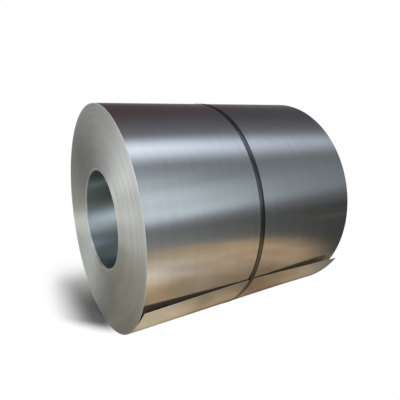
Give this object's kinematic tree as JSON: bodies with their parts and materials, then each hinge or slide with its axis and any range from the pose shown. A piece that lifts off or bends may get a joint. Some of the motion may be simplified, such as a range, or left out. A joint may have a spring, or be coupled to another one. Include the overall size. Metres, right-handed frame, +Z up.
{
  "type": "steel coil",
  "caption": "Coil of steel strip lying on its side, wound round an open eye, its loose outer end sprung at the corners and held in the middle by one steel strap.",
  "frame": {"origin": "on the floor under the middle of the coil, below its axis", "axes": "+Z up, +Y along the coil's axis towards its far end, +X towards the front, where the loose end is"},
  "size_m": [1.1672, 1.206, 1.1672],
  "materials": {
    "rolled_steel": "bright cold-rolled strip, grain along the strip",
    "blued_strap": "blued and waxed steel strapping",
    "seal_steel": "plain crimped sheet steel"
  },
  "bodies": {
    "root": {"coil": "rolled_steel", "strap": "blued_strap", "strap_seal": "seal_steel"}
  },
  "joints": []
}
